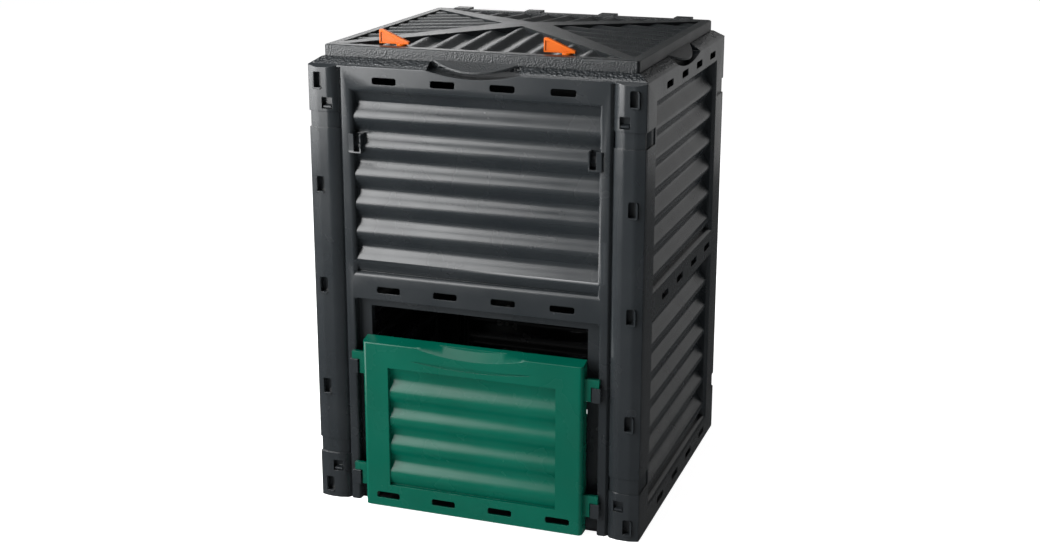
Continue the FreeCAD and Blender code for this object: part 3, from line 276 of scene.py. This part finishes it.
def moulded_plastic(name, dark, light, roughness, gloss, leather=None):
    """Satin moulded plastic with a soft mottle in its colour and gloss, a fine grain and rounded edges."""
    material = new_material(name)
    tree = material.node_tree
    shader = tree.nodes["Principled BSDF"]
    shader.inputs["Specular IOR Level"].default_value = gloss
    place = add_node(tree, "ShaderNodeTexCoord").outputs["Object"]
    mix = add_node(tree, "ShaderNodeMix", data_type="RGBA")
    mix.inputs["A"].default_value = (*dark, 1.0)
    mix.inputs["B"].default_value = (*light, 1.0)
    tree.links.new(spread(tree, noise(tree, place, MOTTLE_SCALE), 0.0, 1.0), mix.inputs["Factor"])
    tree.links.new(mix.outputs["Result"], shader.inputs["Base Color"])
    gloss_noise = noise(tree, place, GLOSS_SCALE)
    tree.links.new(spread(tree, gloss_noise, roughness - GLOSS_SWING, roughness + GLOSS_SWING),
                   shader.inputs["Roughness"])
    edge = add_node(tree, "ShaderNodeBevel", samples=EDGE_SAMPLES)
    edge.inputs["Radius"].default_value = EDGE_RADIUS
    normal = bump(tree, noise(tree, place, GRAIN_SCALE), GRAIN_DEPTH, edge.outputs["Normal"])
    if leather:
        normal = leather(tree, place, normal)
    tree.links.new(normal, shader.inputs["Normal"])
    return material


def leather_on_collar(tree, place, normal):
    """The coarse leather grain of the bevel and the tops of the columns."""
    height = add_node(tree, "ShaderNodeSeparateXYZ")
    tree.links.new(place, height.inputs["Vector"])
    cover = spread(tree, height.outputs["Z"], 0.0, 1.0, (GRAIN_START_Z, GRAIN_FULL_Z))
    cells = leather_cells(tree, place, COLLAR_LEATHER_SCALE)
    return bump(tree, product(tree, cells, cover), COLLAR_LEATHER_DEPTH, normal)


def leather_all_over(tree, place, normal):
    """The lid's fine leather grain."""
    return bump(tree, leather_cells(tree, place, LID_LEATHER_SCALE), LID_LEATHER_DEPTH, normal)


# Mouldings: each CAD node's own shape with round waves, and its bends shaded round

def triangle_wave(turns):
    """A zigzag between -1 and 1 that is 1 after a quarter of a turn."""
    t = (turns + 0.25) % 1.0
    return 4.0 * t - 1.0 if t < 0.5 else 3.0 - 4.0 * t


def wave_swings(pitch, flank):
    """How far a zigzag's sharp corners and its cut crests lie from its middle."""
    angle = math.radians(flank)
    sharp = pitch / 4.0 * math.tan(angle)
    return sharp, sharp - WAVE_RADIUS * (1.0 / math.cos(angle) - 1.0)


def round_waves(work, along, outward, origin, start, end, pitch, flank, in_field):
    """Cuts a zigzag field into steps and moves them onto a smooth wave that rises from its origin."""
    swing, crest = wave_swings(pitch, flank)
    normal = Vector([1.0 if i == along else 0.0 for i in range(3)])
    count = round((end - start) / pitch * WAVE_STEPS)
    for i in range(count + 1):
        level = start + i * pitch / WAVE_STEPS
        faces = [f for f in work.faces if in_field(f)]
        edges = list(dict.fromkeys(e for f in faces for e in f.edges))
        geometry = faces + edges + list(dict.fromkeys(v for f in faces for v in f.verts))
        bmesh.ops.bisect_plane(work, geom=geometry, plane_co=normal * level, plane_no=normal, dist=WELD)
    for vertex in {v for f in work.faces if in_field(f) for v in f.verts}:
        if start < vertex.co[along] < end:
            turns = (vertex.co[along] - origin) / pitch
            zigzag = max(-crest, min(crest, swing * triangle_wave(turns)))
            vertex.co += outward * (crest * math.sin(2.0 * math.pi * turns) - zigzag)


def round_wall(work, node):
    """The wavy fields of one wall."""
    pitch = WALL_PITCH
    across = 1 if node in ("left_wall", "right_wall") else 0
    half = SIDE_FIELD_HALF if across else FRONT_FIELD_HALF
    middle = MIDDLE_Y if across else 0.0
    outward = WALL_OUTWARD[node]
    for low, high in WALL_FIELDS[1:] if node == "front_wall" else WALL_FIELDS:
        waves = int((high - low) // pitch)
        start = (low + high - waves * pitch) / 2.0

        def in_field(face):
            place = face.calc_center_median()
            return (start < place.z < start + waves * pitch and abs(face.normal[across]) < WALL_FACING
                    and abs(place[across] - middle) < half)

        round_waves(work, 2, Vector(outward), start, start + pitch / 4.0, start + (waves - 0.25) * pitch,
                    pitch, WALL_FLANK, in_field)


def round_lid(work):
    """The wavy triangles of the lid."""
    for along, (half, near, apex, waves) in enumerate(LID_FIELDS):
        centre = (0.0, MIDDLE_Y)[along]
        other_centre = (MIDDLE_Y, 0.0)[along]
        for side in (-1.0, 1.0):

            def in_field(face):
                place = face.calc_center_median()
                out = (place[1 - along] - other_centre) * side
                reach = half * (out - apex) / (near - apex)
                return (apex < out < near and abs(place[along] - centre) < reach
                        and abs(face.normal.z) > LID_FACING and LID_FIELD_LOW < place.z)

            pitch = 2.0 * half / waves
            round_waves(work, along, Vector((0.0, 0.0, 1.0)), centre - half + pitch / 4.0, centre - half,
                        centre + half, pitch, LID_FLANK, in_field)


def moulding(node, material):
    """A copy of a CAD node with coplanar facets joined, small bends smooth and flats kept flat."""
    source = frame["nodes"][node]
    mesh = source.data.copy()
    mesh.materials.clear()
    mesh.materials.append(material)
    work = bmesh.new()
    work.from_mesh(mesh)
    bmesh.ops.remove_doubles(work, verts=work.verts, dist=WELD)
    flat = math.radians(FLAT_TOLERANCE)
    bmesh.ops.dissolve_limit(work, angle_limit=flat, verts=work.verts, edges=work.edges)
    if node.endswith("_wall"):
        round_wall(work, node)
    if node == "lid":
        round_lid(work)
    for face in work.faces:
        face.smooth = True
    for edge in work.edges:
        edge.smooth = edge.is_manifold and edge.calc_face_angle() < math.radians(ROUND_BEND)
    work.to_mesh(mesh)
    work.free()
    piece = bpy.data.objects.new(node + "_moulding", mesh)
    bpy.context.scene.collection.objects.link(piece)
    normals = piece.modifiers.new("normals", "WEIGHTED_NORMAL")
    normals.weight = NORMAL_WEIGHT
    normals.keep_sharp = True
    body = next(name for name, nodes in frame["record"]["behaviour"]["bodies"].items() if node in nodes)
    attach(piece, body)
    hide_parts(node)


def finish_nodes():
    body = moulded_plastic("wall_plastic", *WALL_FINISH, leather=leather_on_collar)
    lid = moulded_plastic("lid_plastic", *LID_FINISH, leather=leather_all_over)
    door = moulded_plastic("door_plastic", *DOOR_FINISH)
    orange = moulded_plastic("latch_plastic", *LATCH_FINISH)
    for node in ("front_wall", "back_wall", "left_wall", "right_wall"):
        moulding(node, body)
    for node in ("lid", "latch_cam_left", "latch_cam_right"):
        moulding(node, lid)
    moulding("discharge_door", door)
    for node in ("latch_handle_left", "latch_handle_right"):
        moulding(node, orange)


aim_camera()
make_stage()
finish_nodes()
